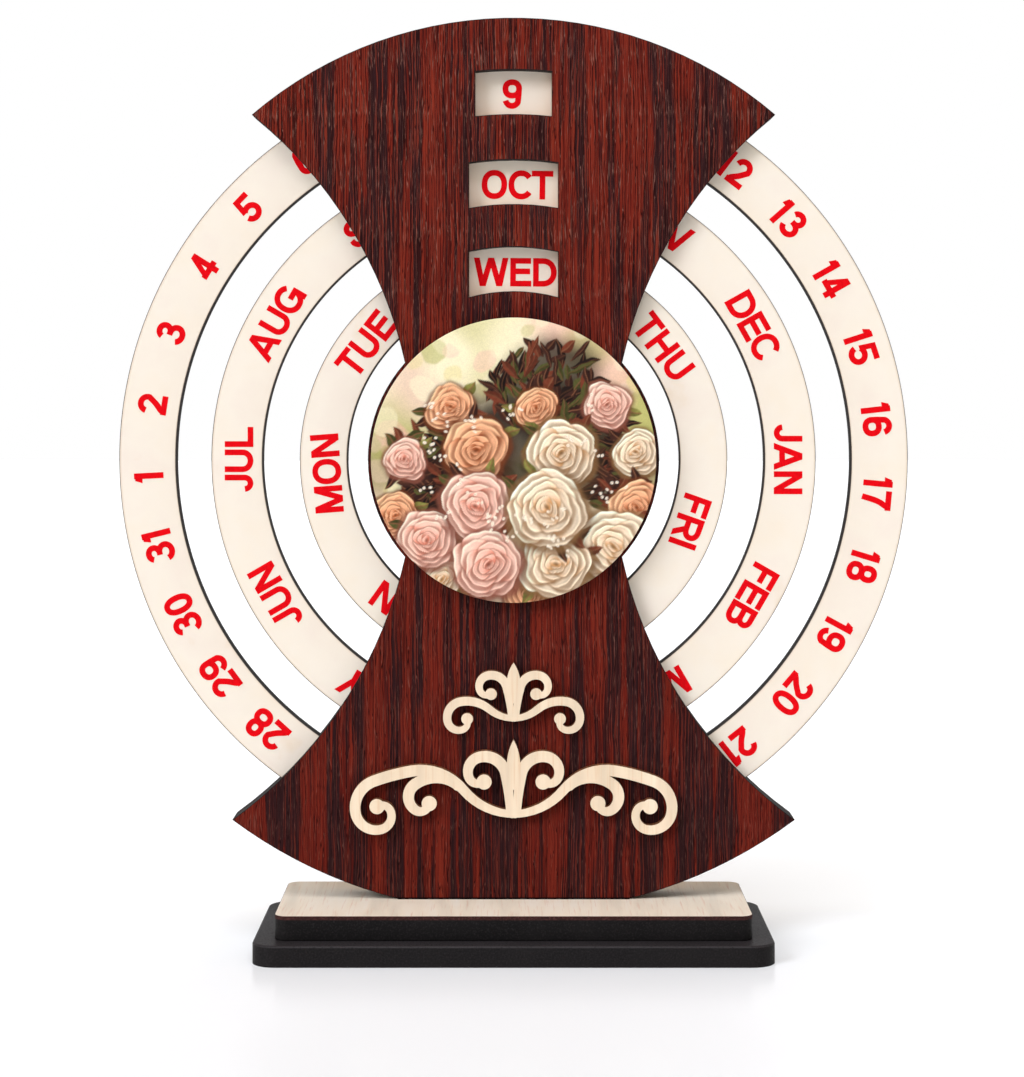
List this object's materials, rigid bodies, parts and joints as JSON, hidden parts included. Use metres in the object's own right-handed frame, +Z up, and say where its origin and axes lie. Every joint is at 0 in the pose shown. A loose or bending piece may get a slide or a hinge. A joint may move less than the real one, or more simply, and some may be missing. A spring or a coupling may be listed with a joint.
{
  "type": "perpetual desk calendar",
  "caption": "Free-standing perpetual desk calendar: an hourglass panel with windows holds concentric day, month and weekday dials that turn behind it, on a stepped base.",
  "frame": {"origin": "on the floor under the middle of the base", "axes": "+Z up, +X to the object's right as seen from the front, +Y to the back"},
  "size_m": [0.214, 0.056, 0.2498],
  "materials": {
    "black_board": "matt black stained fibreboard",
    "pale_veneer": "pale satin veneer",
    "raw_board": "laser-cut fibreboard with scorched edges",
    "rosewood_laminate": "textured red-brown wood-grain laminate",
    "cream_face": "cream satin laminate",
    "print": "satin colour print",
    "pale_ply": "pale satin ply with scorched edges",
    "red_print": "raised red ink"
  },
  "bodies": {
    "stand": {"base_plate": "black_board", "plinth_block": "black_board", "plinth_veneer": "pale_veneer", "rear_panel": "raw_board", "front_board": "raw_board", "front_laminate": "rosewood_laminate", "upper_rim_spacer": "raw_board", "lower_rim_spacer": "raw_board", "upper_outer_guide": "raw_board", "lower_outer_guide": "raw_board", "upper_inner_guide": "raw_board", "lower_inner_guide": "raw_board", "hub_spacer": "raw_board", "picture_board": "raw_board", "picture_print": "print", "upper_ornament": "pale_ply", "lower_ornament": "pale_ply"},
    "day_dial": {"day_dial_board": "raw_board", "day_dial_face": "cream_face"},
    "month_dial": {"month_dial_board": "raw_board", "month_dial_face": "cream_face"},
    "weekday_dial": {"weekday_dial_board": "raw_board", "weekday_dial_face": "cream_face"}
  },
  "joints": [
    {"name": "day_turn", "type": "hinge", "parent": "stand", "child": "day_dial", "pos_m": [0, 0.0053, 0.1306], "axis": [0, -1, 0], "continuous": true},
    {"name": "month_turn", "type": "hinge", "parent": "stand", "child": "month_dial", "pos_m": [0, 0.0053, 0.1306], "axis": [0, -1, 0], "continuous": true},
    {"name": "weekday_turn", "type": "hinge", "parent": "stand", "child": "weekday_dial", "pos_m": [0, 0.0053, 0.1306], "axis": [0, -1, 0], "continuous": true}
  ]
}
